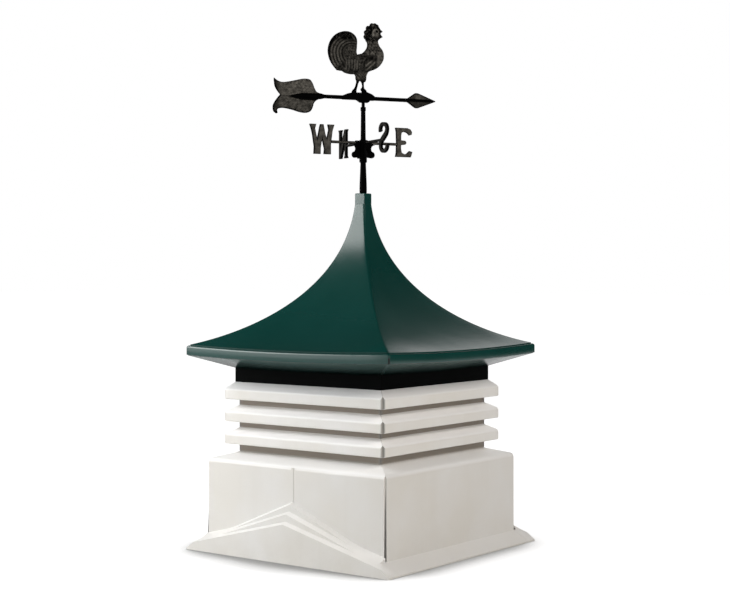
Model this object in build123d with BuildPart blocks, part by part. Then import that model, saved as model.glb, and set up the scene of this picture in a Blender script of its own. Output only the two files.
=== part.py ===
"""Barn cupola with louvred sides, a bell roof and a turning rooster weathervane.

Units are millimetres.  +Z is up.  The ridge of the barn runs along Y, the front gable face looks
to -Y and the right face to +X.  The origin is the middle of the base at the level it stands on.
Each side of the cupola is a moulded panel, mitred to its neighbours at the corners.
"""
from build123d import *
import math
import os

os.makedirs("parts", exist_ok=True)
SIDES = ("front", "right", "back", "left")

# ---- base box -----------------------------------------------------------------------------
BODY = 305.0              # half width of the square base box
WALL = 6.0                # thickness of the moulded base walls
SHOULDER = 266.0          # height where the sloped shoulder meets the louvre section
SHOULDER_FALL = 17.6      # drop of the shoulder from there to the wall
SHOULDER_R = 15.0         # rounding between shoulder and wall
SHOULDER_LIP = 9.0        # width of the level lip that carries the louvre section
SEAM = 5.0                # square rebate along the corner joints of the base
SKIRT = 40.5              # how far the skirt stands out of the box
SKIRT_TOP = 33.0          # height of the sloped side skirt at the wall
SKIRT_EDGE = 4.5          # thickness of the skirt at its outer edge
STEP = SKIRT / 3          # depth of one gable step
STEP_FALL = 6.0           # outward fall of a step's ledge
PITCHES = ((5 / 12, 156.0), (4 / 12, 133.0), (3 / 12, 108.0))   # roof pitch and apex height
RIB = 8.0                 # width of the centre rib on a gable face
RIB_PROUD = 1.3

# ---- louvre section -----------------------------------------------------------------------
NOSE_IN = 29.9            # how far the louvre noses stand back from the box
LOUVRE_DEPTH = 31.5       # from the wall behind the louvres to their noses
LOUVRE_SKIN = 5.0
LOUVRES = 3
LOUVRE_PITCH = 61.2
LOUVRE_LIFT = 24.0        # from the shoulder to the underside of the lowest nose
NOSE_H = 25.0             # height of a nose
NOSE_R_LOW, NOSE_R_HIGH = 4.0, 9.0
ROOT_H = 43.0             # from the underside of a nose to the root of its top slope
TOP_H = 45.1              # the same to the neck on the top louvre
NOTCH = 7.0               # square notch at the corners of the noses
NOSE = BODY - NOSE_IN
CORE = NOSE - LOUVRE_DEPTH
LOUVRE_Z = SHOULDER + LOUVRE_LIFT
LOUVRE_TOP = LOUVRE_Z + (LOUVRES - 1) * LOUVRE_PITCH + TOP_H

# ---- neck and roof ------------------------------------------------------------------------
NECK_OUT = 7.7            # neck band beyond the wall behind the louvres
NECK_T = 5.0
NECK_SHOWS = 38.7         # height of neck that shows below the soffit
OVERHANG = 95.8           # eave beyond the neck
SOFFIT_RISE = 36.4        # rise of the soffit from the neck to the eave
FASCIA = 26.4             # height of the fascia
BELL_H = 389.0            # rise of the bell roof from the eave to the collar
ROOF_T = 4.0              # thickness of roof skins and soffit
BOW = 8600.0              # radius of the bow of every roof face up to its corners
INNER_STEPS = 7           # flats of the inside of a roof face
TIP = 17.6                # half width of the roof where the collar begins
BELL = ((1.0, 0.0), (0.662, 0.078), (0.074, 0.349), (0.0, 1.0))      # poles of the bell curve, as shares
PAN_RING = 20.0           # width of the pan's level ring over the neck
COLLAR_H = 30.5
COLLAR_PLUG = 23.0        # depth of the collar's plug in the roof tip
COLLAR_BEVEL = 1.5
NECK = CORE + NECK_OUT
EAVE = NECK + OVERHANG
SOFFIT_ROOT = LOUVRE_TOP + NECK_SHOWS
NECK_TOP = SOFFIT_ROOT + ROOF_T
EAVE_BOTTOM = SOFFIT_ROOT + SOFFIT_RISE
EAVE_TOP = EAVE_BOTTOM + FASCIA
ROOF_TOP = EAVE_TOP + BELL_H
COLLAR = TIP - 1.2
COLLAR_TOP = ROOF_TOP + COLLAR_H

# ---- post and compass ---------------------------------------------------------------------
SLIP = 0.1                # sliding clearance of fixed parts on the post
FOOT_R = 10.3             # foot of the post on the collar
SPIGOT_R = 7.8            # spigot of the post in the collar
POST_R = 7.65             # post through the compass hub
POST_TOP_R = 7.0          # post above the compass hub
RING_R = 10.6             # ring under the compass hub
RING_H = 12.0
HUB_R = 10.5
HUB_H = 51.0
HUB_LOW = COLLAR_TOP + 97.5
HUB_HIGH = HUB_LOW + HUB_H
ARM_Z = HUB_LOW + 43.0
ARM_R = 4.0
BOSS_R = 6.5              # socket of an arm on the hub
BOSS_OUT = 24.0
LETTER_OUT = 127.0        # distance of a letter's centre from the post
LETTER_H = 82.0           # height of the letters
LETTER_UP = 6.0           # letters' centre above the arms
LETTER_T = 7.0
BRACKET_T = 7.0
BRACKET_OUT = 26.0        # where a bracket meets its arm, from the hub
LOBE_R = 9.0              # round lobe at the foot of a bracket
COMPASS = {"south": -26.0, "east": 64.0, "north": 154.0, "west": 244.0}
CAP_R = 7.5
CAP_H = 11.0
CAP_TOP = HUB_HIGH + 92.0
PIN_R = 2.5
PIN_TOP = CAP_TOP + 29.0

# ---- turning vane -------------------------------------------------------------------------
VANE_DIR = 60.0           # direction of the arrow at rest
PLAY = 0.3                # running clearance of the vane on its spindle
ROD_R = 5.6
ROD_Z = CAP_TOP + 24.7    # height of the arrow
SLEEVE_R = 4.6
HUB_BOSS_R = 8.5
HUB_BACK, HUB_FRONT = -61.5, 33.0      # ends of the hub's fairing along the arrow
FAIRING_T = 12.0
HEAD_BACK = 137.0
HEAD_TIP = 221.0
HEAD_H = 42.6
HEAD_T = 6.0
TAIL_ROOT = 140.0         # where the rod ends inside the tail's socket
TAIL_NECK = 134.0         # widest place of the tail's socket
TAIL_L = 132.0            # length of the tail's blades
TAIL_T = 5.0
ROOSTER_H = 196.0         # height of the rooster over its feet
FEET = 17.3               # height of the rooster's feet above the rod
PLATE_T = 10.0            # thickness of the rooster's outline plate
FAN_T = 9.0               # thickness of its tail
LEG_T = 8.0


def block(x0, x1, y0, y1, z0, z1):
    """An axis aligned block used as a cutter."""
    return Pos((x0 + x1) / 2, (y0 + y1) / 2, (z0 + z1) / 2) * Box(x1 - x0, y1 - y0, z1 - z0, mode=Mode.PRIVATE)


def bow(n):
    """Drop of a bowed roof face at its middle, a distance n out from the axis."""
    return n * n / (2 * BOW)


def shifted(points, t):
    """Roof line moved to the inside by the skin thickness t."""
    out = []
    for i, (y, z) in enumerate(points):
        a, b = points[max(i - 1, 0)], points[min(i + 1, len(points) - 1)]
        length = math.hypot(b[0] - a[0], b[1] - a[1])
        out.append((y + (b[1] - a[1]) / length * t, z - (b[0] - a[0]) / length * t))
    return out


def stroke(points, widths, steps=3):
    """Outline of a curved pen stroke through the points, with half widths along it."""
    path = []
    last = len(points) - 1
    for i in range(last):
        quad = [points[j] for j in (max(i - 1, 0), i, i + 1, min(i + 2, last))]
        for k in range(steps):
            t = k / steps
            x, y = (0.5 * (2 * b + (c - a) * t + (2 * a - 5 * b + 4 * c - d) * t ** 2
                           + (3 * b - a - 3 * c + d) * t ** 3) for a, b, c, d in zip(*quad))
            path.append((x, y, widths[i] + (widths[i + 1] - widths[i]) * t))
    path.append((*points[last], widths[last]))
    left, right = [], []
    for i, (x, y, w) in enumerate(path):
        a, b = path[max(i - 1, 0)], path[min(i + 1, len(path) - 1)]
        length = math.hypot(b[0] - a[0], b[1] - a[1])
        dx, dy = (b[0] - a[0]) / length * w, (b[1] - a[1]) / length * w
        left.append((x - dy, y + dx))
        right.append((x + dy, y - dx))
    return left + right[::-1]


def drawn(scale, *points):
    """Points of an outline at the size of the piece."""
    return [(x * scale, y * scale) for x, y in points]


def arcs(*points):
    """Chain of arcs for an outline, each from one point through the next to the one after."""
    for start, through, end in zip(points[::2], points[1::2], points[2::2]):
        ThreePointArc(start, through, end)


def section(plane, half_x, half_y, sides):
    """Points round a section on a plane, on a circle or an ellipse."""
    turns = [math.tau * k / sides for k in range(sides)]
    return [plane.from_local_coords((half_x * math.cos(t), half_y * math.sin(t), 0)) for t in turns]


def faceted(*rows):
    """Closed solid with flat facets from one row of points to the next."""
    faces = [Face(Wire.make_polygon(row)) for row in (rows[0], rows[-1])]
    for low, high in zip(rows, rows[1:]):
        faces += [Face(Wire.make_polygon((low[k - 1], low[k], high[k], high[k - 1]))) for k in range(len(low))]
    return Solid(Shell(faces))


def save(part, name, quarter=0):
    """Label one piece, turned to its side of the cupola, and write its STEP file."""
    piece = Rot(0, 0, 90 * quarter) * part
    piece.label = name
    export_step(piece, f"parts/{name}.step")


# ---- mitre: the quarter of the plan that belongs to the front side -------------------------
with BuildPart() as mitre:
    with BuildSketch(Plane.XY):
        Polygon((0, 0), (2 * EAVE, -2 * EAVE), (-2 * EAVE, -2 * EAVE), align=None)
    extrude(amount=COLLAR_TOP)

# ---- base panels --------------------------------------------------------------------------
OUT = BODY + SKIRT
WALL_TOP = SHOULDER - SHOULDER_FALL
SKIRT_SLOPE = (SKIRT_TOP - SKIRT_EDGE) / SKIRT
FAR = 2 * OUT

with BuildPart() as wall_blank:
    with BuildSketch(Plane.YZ.offset(-BODY)) as wall_line:
        Polygon((-BODY, 0), (-BODY, WALL_TOP), (-CORE, SHOULDER), (-CORE + SHOULDER_LIP, SHOULDER),
                (-CORE + SHOULDER_LIP, SHOULDER - WALL), (-BODY + WALL, WALL_TOP - WALL), (-BODY + WALL, 0),
                align=None)
        for y, z, radius in ((-BODY, WALL_TOP, SHOULDER_R), (-BODY + WALL, WALL_TOP - WALL, SHOULDER_R - WALL)):
            fillet(wall_line.vertices().sort_by_distance((y, z, 0))[0], radius)
    extrude(amount=2 * BODY)
seams = [block(s * BODY - SEAM, s * BODY + SEAM, -BODY - 1, -BODY + SEAM, SKIRT_TOP, WALL_TOP) for s in (1, -1)]


def stepped_skirt(near, inset=0):
    """Skirt of a gable face from a plane in the wall outwards: one sloping ledge for each roof
    pitch, falling from the middle to both corners.  With an inset it is the hollow behind it."""
    with BuildPart() as skirt:
        for k, (pitch, apex) in enumerate(PITCHES):
            far = BODY + STEP * (k + 1) - inset
            fall = STEP_FALL / STEP
            high = apex - inset + (BODY + STEP * k - inset - near) * fall
            low = apex - inset - STEP_FALL
            for side in (1, -1):
                with BuildSketch(Plane.YZ):
                    Polygon((-near, -FAR), (-near, high), (-far, low), (-far, -FAR), align=None)
                extrude(amount=(OUT - inset) * math.hypot(1, pitch), dir=(side, 0, -pitch))
        with BuildSketch(Plane.XZ):
            edge = SKIRT_EDGE + inset * (SKIRT_SLOPE - 1.2)
            Polygon((-OUT + inset, 0), (-OUT + inset, edge), (-BODY, SKIRT_TOP - 1.2 * inset), (-BODY, SHOULDER),
                    (BODY, SHOULDER), (BODY, SKIRT_TOP - 1.2 * inset), (OUT - inset, edge), (OUT - inset, 0),
                    align=None)
        extrude(amount=FAR, mode=Mode.INTERSECT)
    return skirt.part


gable_skirt = stepped_skirt(BODY)
gable_hollow = stepped_skirt(BODY - WALL - 1, WALL - 1)
with BuildPart() as gable_panel:
    add(wall_blank.part)
    add(mitre.part, mode=Mode.INTERSECT)
    add(gable_skirt)
    add(gable_hollow, mode=Mode.SUBTRACT)
    with BuildSketch(Plane.XZ.offset(BODY - 1)):
        with Locations((0, (PITCHES[0][1] + WALL_TOP) / 2)):
            Rectangle(RIB, WALL_TOP - PITCHES[0][1] - 4)
    extrude(amount=RIB_PROUD + 1)
    add(seams, mode=Mode.SUBTRACT)
save(gable_panel.part, "base_panel_front")
save(gable_panel.part, "base_panel_back", 2)

with BuildPart() as side_panel:
    add(wall_blank.part)
    with BuildSketch(Plane.YZ.offset(-BODY)):
        Polygon((-BODY + 1, SKIRT_TOP + SKIRT_SLOPE), (-OUT, SKIRT_EDGE), (-OUT, 0), (-BODY + 1, 0), align=None)
    extrude(amount=2 * BODY)
    with BuildSketch(Plane.YZ.offset(-BODY)):
        Polygon((-BODY + WALL + 1, 0), (-BODY + WALL + 1, SKIRT_TOP - WALL), (-BODY, SKIRT_TOP - WALL),
                (-OUT + SKIRT_EDGE, 0), align=None)
    extrude(amount=2 * BODY, mode=Mode.SUBTRACT)
    add(mitre.part, mode=Mode.INTERSECT)
    add(seams, mode=Mode.SUBTRACT)
save(side_panel.part, "base_panel_right", 1)
save(side_panel.part, "base_panel_left", 3)

# ---- louvre panels: wall and hollow noses are one moulding ---------------------------------
with BuildPart() as louvre:
    with BuildSketch(Plane.YZ.offset(-NOSE)):
        with Locations((-CORE + LOUVRE_SKIN / 2, (SHOULDER + LOUVRE_TOP) / 2)):
            Rectangle(LOUVRE_SKIN, LOUVRE_TOP - SHOULDER)
    extrude(amount=2 * NOSE)
    for i in range(LOUVRES):
        under = LOUVRE_Z + i * LOUVRE_PITCH
        top = [(-CORE + 1, under + ROOT_H)] if i < LOUVRES - 1 else [(-NECK, LOUVRE_TOP), (-CORE + 1, LOUVRE_TOP)]
        with BuildSketch(Plane.YZ.offset(-NOSE)) as nose_line:
            Polygon((-CORE + 1, under - 4), (-NOSE, under - 1.5), (-NOSE, under + NOSE_H), *top, align=None)
            fillet(nose_line.vertices().sort_by_distance((-NOSE, under - 1.5, 0))[0], NOSE_R_LOW)
            fillet(nose_line.vertices().sort_by_distance((-NOSE, under + NOSE_H, 0))[0], NOSE_R_HIGH)
        extrude(amount=2 * NOSE)
for_hollow = Pos(0, -1.6 * LOUVRE_SKIN, 0) * mitre.part
with BuildPart() as nose_hollow:
    for i in range(LOUVRES):
        under = LOUVRE_Z + i * LOUVRE_PITCH
        with BuildSketch(Plane.YZ.offset(-NOSE)):
            Polygon((-CORE + LOUVRE_SKIN + 1, under + 1), (-NOSE + LOUVRE_SKIN, under + LOUVRE_SKIN - 1.5),
                    (-NOSE + LOUVRE_SKIN, under + NOSE_H - 4), (-CORE + LOUVRE_SKIN + 1, under + ROOT_H - 8),
                    align=None)
        extrude(amount=2 * NOSE)
    add(for_hollow, mode=Mode.INTERSECT)
with BuildPart() as louvre_panel:
    add(louvre.part)
    add(nose_hollow.part, mode=Mode.SUBTRACT)
    add(mitre.part, mode=Mode.INTERSECT)
    for s in (1, -1):
        add(block(s * NOSE - NOTCH, s * NOSE + NOTCH, -NOSE - 1, -NOSE + NOTCH, SHOULDER, LOUVRE_TOP),
            mode=Mode.SUBTRACT)
for quarter, side in enumerate(SIDES):
    save(louvre_panel.part, f"louvre_panel_{side}", quarter)

# ---- neck band ----------------------------------------------------------------------------
with BuildPart() as neck_board:
    with BuildSketch(Plane.YZ.offset(-NECK)):
        with Locations((-NECK + NECK_T / 2, (LOUVRE_TOP + NECK_TOP) / 2)):
            Rectangle(NECK_T, NECK_TOP - LOUVRE_TOP)
    extrude(amount=2 * NECK)
    add(mitre.part, mode=Mode.INTERSECT)
for quarter, side in enumerate(SIDES):
    save(neck_board.part, f"neck_board_{side}", quarter)

# ---- roof: every face is its profile swung about a far axis, which bows it -----------------
BOW_AXIS = Axis((0, 0, EAVE_BOTTOM + BOW), (0, 1, 0))
BOW_ARC = math.degrees(math.asin(EAVE / (BOW - BELL_H))) + 0.2
bell = [(-(TIP + run * (EAVE - TIP)), EAVE_TOP + rise * BELL_H) for run, rise in BELL]
bell = [(y, z - bow(y)) for y, z in bell]
bell_curve = Bezier(*bell)
inside = shifted([tuple(bell_curve @ (k / INNER_STEPS))[:2] for k in range(INNER_STEPS + 1)], ROOF_T)
inside[0] = (-EAVE + ROOF_T, bell[0][1] - ROOF_T)
inside[-1] = (bell[-1][0] + ROOF_T, bell[-1][1])
with BuildPart() as roof_panel:
    with BuildSketch(Plane.YZ):
        with BuildLine():
            Bezier(*bell)
            Polyline(bell[-1], *inside[::-1], (-EAVE + ROOF_T, EAVE_BOTTOM - bow(EAVE)),
                     (-EAVE, EAVE_BOTTOM - bow(EAVE)), bell[0])
        make_face()
    revolve(axis=BOW_AXIS, revolution_arc=BOW_ARC)
    mirror(about=Plane.YZ)
    add(mitre.part, mode=Mode.INTERSECT)
for quarter, side in enumerate(SIDES):
    save(roof_panel.part, f"roof_panel_{side}", quarter)

IN = EAVE - ROOF_T
with BuildPart() as soffit:
    with BuildSketch(Plane.YZ):
        Polygon((-NECK, SOFFIT_ROOT - bow(NECK)), (-IN, EAVE_BOTTOM - 1.5 - bow(IN)),
                (-IN, EAVE_BOTTOM + ROOF_T - 1.5 - bow(IN)), (-NECK - ROOF_T, SOFFIT_ROOT + 1.5 * ROOF_T - bow(NECK)),
                (-NECK - ROOF_T, NECK_TOP + 1.5 * ROOF_T), (-NECK, NECK_TOP + 1.5 * ROOF_T), align=None)
    revolve(axis=BOW_AXIS, revolution_arc=BOW_ARC)
    mirror(about=Plane.YZ)
    add(mitre.part, mode=Mode.INTERSECT)
with BuildPart() as roof_pan:
    for quarter in range(4):
        add(soffit.part, rotation=(0, 0, 90 * quarter))
    with BuildSketch(Plane.XY.offset(NECK_TOP)):
        Rectangle(2 * NECK + ROOF_T, 2 * NECK + ROOF_T)
        Rectangle(2 * (NECK - PAN_RING), 2 * (NECK - PAN_RING), mode=Mode.SUBTRACT)
    extrude(amount=ROOF_T)
save(roof_pan.part, "roof_pan")

with BuildPart() as apex_collar:
    with BuildSketch(Plane.XY.offset(ROOF_TOP)):
        Rectangle(2 * COLLAR, 2 * COLLAR)
    extrude(amount=COLLAR_H)
    chamfer(apex_collar.faces().sort_by(Axis.Z)[-1].edges(), COLLAR_BEVEL)
    with BuildSketch(Plane.XY.offset(ROOF_TOP - COLLAR_PLUG)):
        Rectangle(2 * (TIP - ROOF_T) - 1, 2 * (TIP - ROOF_T) - 1)
    extrude(amount=COLLAR_PLUG + 1)
    with BuildSketch(Plane.XY.offset(ROOF_TOP - COLLAR_PLUG / 2)):
        Circle(SPIGOT_R + SLIP)
    extrude(amount=COLLAR_H + COLLAR_PLUG, mode=Mode.SUBTRACT)
save(apex_collar.part, "apex_collar")

# ---- post and compass ---------------------------------------------------------------------
with BuildPart() as vane_post:
    with BuildSketch(Plane.XZ):
        Polygon((0, ROOF_TOP - COLLAR_PLUG / 2), (SPIGOT_R, ROOF_TOP - COLLAR_PLUG / 2), (SPIGOT_R, COLLAR_TOP),
                (FOOT_R, COLLAR_TOP), (POST_R, HUB_LOW - RING_H), (RING_R, HUB_LOW - RING_H / 2),
                (RING_R, HUB_LOW), (POST_R, HUB_LOW), (POST_R, HUB_HIGH), (POST_TOP_R, HUB_HIGH),
                (POST_TOP_R, CAP_TOP - CAP_H), (CAP_R, CAP_TOP - CAP_H), (CAP_R, CAP_TOP), (PIN_R, CAP_TOP),
                (PIN_R, PIN_TOP), (0, PIN_TOP), align=None)
    revolve(axis=Axis.Z)
save(vane_post.part, "vane_post")

with BuildPart() as compass_hub:
    with BuildSketch(Plane.XY.offset(HUB_LOW)):
        Circle(HUB_R)
    extrude(amount=HUB_H)
    for angle in COMPASS.values():
        with BuildSketch(Plane.XZ.rotated((0, 0, angle))):
            with BuildLine():
                arcs((HUB_R + BRACKET_OUT, ARM_Z - ARM_R - 2), (HUB_R + BRACKET_OUT / 2, ARM_Z - 16),
                     (HUB_R + 16, HUB_LOW + 2 * LOBE_R + 1), (HUB_R + 15 + LOBE_R, HUB_LOW + LOBE_R + 1),
                     (HUB_R + 16, HUB_LOW + 1))
                Polyline((HUB_R + 16, HUB_LOW + 1), (HUB_R - 2, HUB_LOW + 3), (HUB_R - 2, ARM_Z),
                         (HUB_R + BRACKET_OUT, ARM_Z - ARM_R - 2))
            make_face()
        extrude(amount=BRACKET_T / 2, both=True)
    for angle in COMPASS.values():
        outward = (math.cos(math.radians(angle)), math.sin(math.radians(angle)), 0)
        with BuildSketch(Plane(origin=(0, 0, ARM_Z), x_dir=(0, 0, 1), z_dir=outward)):
            RegularPolygon(BOSS_R, 8)
        extrude(amount=BOSS_OUT)
    with BuildSketch(Plane.XY.offset(HUB_LOW)):
        Circle(POST_R + SLIP)
    extrude(amount=HUB_H, mode=Mode.SUBTRACT)
save(compass_hub.part, "compass_hub")

GLYPHS = {
    "west": [(-37, 41), (-18, 41), (-21.5, 28), (-14.5, -2), (-8, 28), (-5, 41), (4, 41), (9.4, 15), (14.4, 0),
             (20.4, 27), (17.5, 41), (37, 41), (31.5, 24), (26.5, -12), (26.5, -41), (6, -41), (7.4, -26),
             (0, 3), (-4.7, -26), (-4.7, -41), (-24.4, -41), (-23.4, -21), (-29, 15), (-33, 30)],
    "east": [(-26, 41), (11, 41), (21.3, 37.3), (26, 30), (24.6, 22.8), (18, 20.6), (11.3, 27.4), (1, 30.5),
             (-7, 27.4), (-8.8, 19), (-8.8, 6), (4.6, 5), (8.4, -0.5), (4.6, -6), (-8.8, -7.5), (-9.5, -17),
             (-7, -28.8), (1, -32.9), (9.3, -31.5), (18, -23.4), (27, -26), (22.2, -41), (-26, -41),
             (-23.5, -30), (-22.6, 0), (-23.5, 30)],
    "north": [(-28, 41), (-12, 41), (13, -12), (13, 34), (8, 41), (28, 41), (23, 34), (23, -41), (12, -41),
              (-14, 12), (-14, -34), (-9, -41), (-28, -41), (-23, -34), (-23, 34)],
    "south": stroke([(20, 17), (20.5, 27), (12, 35.5), (-2, 36), (-14, 31), (-18.5, 21), (-13, 10), (0, 1),
                     (13, -8), (19, -19), (16, -30), (5, -36.5), (-8, -36), (-18, -29), (-20, -19)],
                    [6, 5.5, 5, 5, 5.5, 6, 6.5, 7, 6.5, 6, 5.5, 5, 5, 5.5, 6.5]),
}
READS = {"west": -1, "east": 1, "north": 1, "south": -1}       # 1 where the letter reads outwards
SINK = {"west": 27.0, "east": 21.5, "north": 21.5, "south": 8.0}   # where its arm ends, from its centre
for name, angle in COMPASS.items():
    outward = Vector(math.cos(math.radians(angle)), math.sin(math.radians(angle)), 0)
    reading = outward * READS[name]
    with BuildPart() as letter:
        with BuildSketch(Plane(origin=outward * LETTER_OUT + Vector(0, 0, ARM_Z + LETTER_UP), x_dir=reading,
                               z_dir=reading.cross(Vector(0, 0, 1)))):
            Polygon(*drawn(LETTER_H / 82, *GLYPHS[name]), align=None)
        extrude(amount=LETTER_T / 2, both=True)
        with BuildSketch(Plane(origin=outward * BOSS_OUT + Vector(0, 0, ARM_Z), x_dir=(0, 0, 1), z_dir=outward)):
            Circle(ARM_R)
        extrude(amount=LETTER_OUT - SINK[name] * LETTER_H / 82 - BOSS_OUT)
    save(letter.part, f"letter_{name}")

# ---- turning vane, drawn with its arrow along +X ------------------------------------------
SPINE_SIDES = 12          # flats of the cast spines on the head and the tail
SOCKET = 12.0             # depth of the head's socket


def spine(*rows):
    """Cast spine along the arrow through rows of distance and radius."""
    return faceted(*(section(Plane(origin=(at, 0, ROD_Z), x_dir=(0, 1, 0), z_dir=(1, 0, 0)), radius, radius,
                             SPINE_SIDES) for at, radius in rows))


ARROW = Plane((0, 0, ROD_Z), x_dir=(1, 0, 0), z_dir=(0, -1, 0))
PERCH = Plane((0, 0, ROD_Z + FEET), x_dir=(1, 0, 0), z_dir=(0, -1, 0))     # between the rooster's feet
with BuildPart() as vane_hub:
    with BuildSketch(ARROW):
        Polygon((HUB_BACK, ROD_R), (-46, 11.8), (-33, 14.8), (-10, 15), (9, FEET), (24.5, 11.8),
                (HUB_FRONT, ROD_R), (HUB_FRONT, -ROD_R), (21, -ROD_R), (13, -12.3), (-9, -12.3),
                (-19.5, -ROD_R), (HUB_BACK, -ROD_R), align=None)
    extrude(amount=FAIRING_T / 2, both=True)
    with BuildSketch(Plane.XY.offset(ROD_Z - 12.3)):
        Circle(HUB_BOSS_R)
    extrude(amount=27)
    with BuildSketch(Plane.XY.offset(CAP_TOP + PLAY)):
        Circle(SLEEVE_R)
    extrude(amount=14)
    with BuildSketch(Plane.XY.offset(CAP_TOP)):
        Circle(PIN_R + PLAY)
    extrude(amount=PIN_TOP - CAP_TOP + PLAY, mode=Mode.SUBTRACT)

rods = {}
for name, start, end in (("arrow_rod_front", HUB_FRONT, HEAD_BACK + 8), ("arrow_rod_rear", -TAIL_ROOT, HUB_BACK)):
    with BuildPart() as rod:
        with BuildSketch(Plane.YZ.offset(start)):
            with Locations((0, ROD_Z)):
                Circle(ROD_R)
        extrude(amount=end - start)
    rods[name] = rod

with BuildPart() as arrow_head:
    with BuildSketch(ARROW):
        Polygon((HEAD_BACK, ROD_R + 1), (HEAD_BACK + 20, HEAD_H / 2), (HEAD_BACK + 31, HEAD_H / 2), (HEAD_TIP, 0),
                (HEAD_BACK + 31, -HEAD_H / 2), (HEAD_BACK + 20, -HEAD_H / 2), (HEAD_BACK, -ROD_R - 1), align=None)
    extrude(amount=HEAD_T / 2, both=True)
    add(spine((HEAD_BACK, ROD_R + 1), (HEAD_BACK + SOCKET, ROD_R + 1), (HEAD_TIP - 14, 2.5)))
    with BuildSketch(Plane.YZ.offset(HEAD_BACK)):
        with Locations((0, ROD_Z)):
            Circle(ROD_R)
    extrude(amount=8, mode=Mode.SUBTRACT)

with BuildPart() as arrow_tail:
    with BuildSketch(ARROW):
        with BuildLine():
            blade = drawn(-TAIL_L / 132, (0, -9), (9.5, -16.5), (14, -27), (21, -40.5), (36, -47.5), (53, -45.5),
                          (69, -40), (100, -34), (129, -45.5), (125, -22), (110.5, -0.5), (125, 16), (132, 36),
                          (130.5, 46.5), (122, 52.5), (118.5, 40.5), (107, 37), (82, 39.5), (57, 46), (38, 47.5),
                          (20.5, 39.5), (13.5, 23), (0, 9))
            blade = [(x - TAIL_NECK, y) for x, y in blade]
            arcs(*blade)
            Line(blade[-1], blade[0])
        make_face()
    extrude(amount=TAIL_T / 2, both=True)
    add(spine((16 - TAIL_NECK, ROD_R + 0.8), (-TAIL_NECK, 9), (-16 - TAIL_NECK, 8), (-98 - TAIL_NECK, 2.6)))
    with BuildSketch(Plane.YZ.offset(-TAIL_ROOT)):
        with Locations((0, ROD_Z)):
            Circle(ROD_R)
    extrude(amount=TAIL_ROOT, mode=Mode.SUBTRACT)

COMB = ((6, 148, 6), (6, 158.5, 6), (9, 169, 6), (14, 179, 6.5), (22, 187.5, 7), (31.5, 189, 6.5), (40.5, 186, 6),
        (45.5, 178, 4.5))
DOMES = ((0, 80, 54, 25, 14, 19), (34, 128, 30, 15, 97, 12), (32, 166, 19, 16, 90, 10))
DOME_SIDES = 20
DOME_ROWS = (-72, -40, 0, 40, 72)                  # degrees round the section of a dome
BIRD = ROOSTER_H / 196
with BuildPart() as rooster_body:
    with BuildSketch(PERCH):
        with BuildLine():
            arcs(*drawn(BIRD, (-15.5, 99.5), (-1.5, 107.5), (8.5, 119.5), (13, 135), (8, 150), (5, 166), (16, 183),
                        (34, 185.5), (51, 176)))
            Polyline(*drawn(BIRD, (51, 176), (58.5, 171), (51.5, 166.5), (58, 156), (43.5, 146)))
            arcs(*drawn(BIRD, (43.5, 146), (46.5, 132), (57, 118.5), (61.5, 98), (45.5, 71.5), (28, 59.5),
                        (9, 50.5)))
            Line(*drawn(BIRD, (9, 50.5), (-34, 48)))
            arcs(*drawn(BIRD, (-34, 48), (-50, 50), (-63, 58)))
            Polyline(*drawn(BIRD, (-63, 58), (-40, 84), (-15.5, 99.5)))
        make_face()
        for u, h, radius in COMB:
            with Locations(*drawn(BIRD, (u, h))):
                Circle(radius * BIRD)
    extrude(amount=PLATE_T / 2, both=True)
    for u, h, long, short, tilt, deep in DOMES:
        lean = (math.cos(math.radians(tilt)), 0, math.sin(math.radians(tilt)))
        middle = Plane(origin=(u * BIRD, 0, ROD_Z + FEET + h * BIRD), x_dir=lean, z_dir=(0, 1, 0))
        rows = [(math.cos(math.radians(row)), math.sin(math.radians(row))) for row in DOME_ROWS]
        add(faceted(*(section(middle.offset(rise * deep * BIRD), share * long * BIRD, share * short * BIRD,
                              DOME_SIDES) for share, rise in rows)))

with BuildPart() as rooster_tail:
    with BuildSketch(PERCH):
        with BuildLine():
            arcs(*drawn(BIRD, (-79, 57), (-98, 76.5), (-105, 107), (-99.5, 136), (-80.5, 157.5), (-53, 167.5),
                        (-27.5, 155), (-14.5, 129), (-18.6, 101)))
            Polyline(*drawn(BIRD, (-18.6, 101), (-34, 74), (-62, 58), (-79, 57)))
        make_face()
    extrude(amount=FAN_T / 2, both=True)
    add(rooster_body.part, mode=Mode.SUBTRACT)

with BuildPart() as rooster_legs:
    with BuildSketch(PERCH):
        Polygon(*drawn(BIRD, (-25.5, 50), (-20.3, 38), (-21.2, 25), (-26.3, 10.5), (-33, 1.5), (-32.5, -4),
                       (-20, -4), (-20.3, 10.8), (-16, 24), (-11, 30.5), (-3.4, 23), (-4.2, 11.6), (-8.5, 6.6),
                       (-7, -4), (9.3, -4), (9, 2), (1.7, 8.7), (1.7, 26), (5.9, 39), (9.3, 52)), align=None)
    extrude(amount=LEG_T / 2, both=True)
    add(vane_hub.part, mode=Mode.SUBTRACT)
    add(rooster_body.part, mode=Mode.SUBTRACT)

for name, piece in {"vane_hub": vane_hub, **rods, "arrow_head": arrow_head, "arrow_tail": arrow_tail,
                    "rooster_body": rooster_body, "rooster_tail": rooster_tail,
                    "rooster_legs": rooster_legs}.items():
    save(piece.part, name, VANE_DIR / 90)
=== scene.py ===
"""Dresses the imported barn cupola: moulded panels, louvres, bell roof, compass and rooster vane."""

import math

import bmesh
import bpy
from mathutils import Matrix, Vector, noise


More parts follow.
